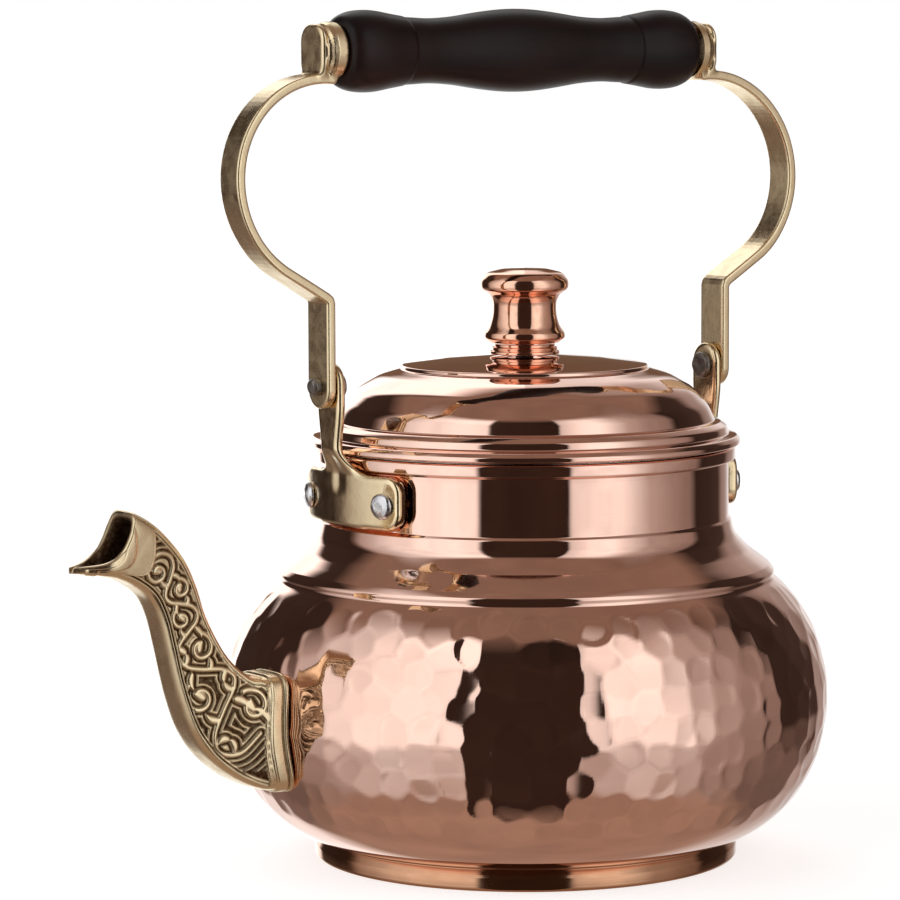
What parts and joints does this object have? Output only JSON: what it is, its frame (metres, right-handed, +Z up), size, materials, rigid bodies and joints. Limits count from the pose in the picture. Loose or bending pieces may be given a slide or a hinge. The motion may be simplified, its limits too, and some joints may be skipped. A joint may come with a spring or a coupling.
{
  "type": "copper kettle",
  "caption": "Hammered copper kettle with a cast scroll-worked spout, a lift-off domed lid with a turned knob, and a swinging bail with a turned wooden grip.",
  "frame": {"origin": "centre of the flat base, in the plane that it rests on", "axes": "+Z up along the kettle's axis; the spout points to -X; the bail swings about a line along X"},
  "size_m": [0.2309, 0.1652, 0.2305],
  "materials": {
    "copper": "polished copper, hammered on the belly",
    "raw_copper": "turned copper, less polished",
    "brass": "cast brass, polished faces and darker recesses",
    "aluminium": "hand-set rivets",
    "steel": "dull",
    "lacquered_wood": "near-black satin lacquer"
  },
  "bodies": {
    "kettle": {"body_shell": "copper", "base_pan": "copper", "spout": "brass", "lug_pad_front": "raw_copper", "lug_pad_rear": "raw_copper", "lug_front": "brass", "lug_rear": "brass", "lug_rivet_1": "aluminium", "lug_rivet_2": "aluminium", "lug_rivet_3": "aluminium", "lug_rivet_4": "aluminium", "pivot_rivet_front": "steel", "pivot_rivet_rear": "steel"},
    "lid": {"lid_cover": "copper", "lid_flange": "copper", "knob": "raw_copper", "knob_collar": "raw_copper", "knob_washer": "steel", "knob_screw": "steel"},
    "bail": {"bail_arm_front": "brass", "bail_arm_rear": "brass", "tie_rod": "steel"},
    "grip": {"grip": "lacquered_wood"}
  },
  "joints": [
    {"name": "bail_swing", "type": "hinge", "parent": "kettle", "child": "bail", "pos_m": [0, 0, 0.1313], "axis": [1, 0, 0], "range_deg": [-115, 115]},
    {"name": "grip_turn", "type": "hinge", "parent": "bail", "child": "grip", "pos_m": [0, 0, 0.2193], "axis": [1, 0, 0], "continuous": true},
    {"name": "lid_lift", "type": "slide", "parent": "kettle", "child": "lid", "axis": [0, 0, 1], "range_m": [0, 0.044]}
  ]
}
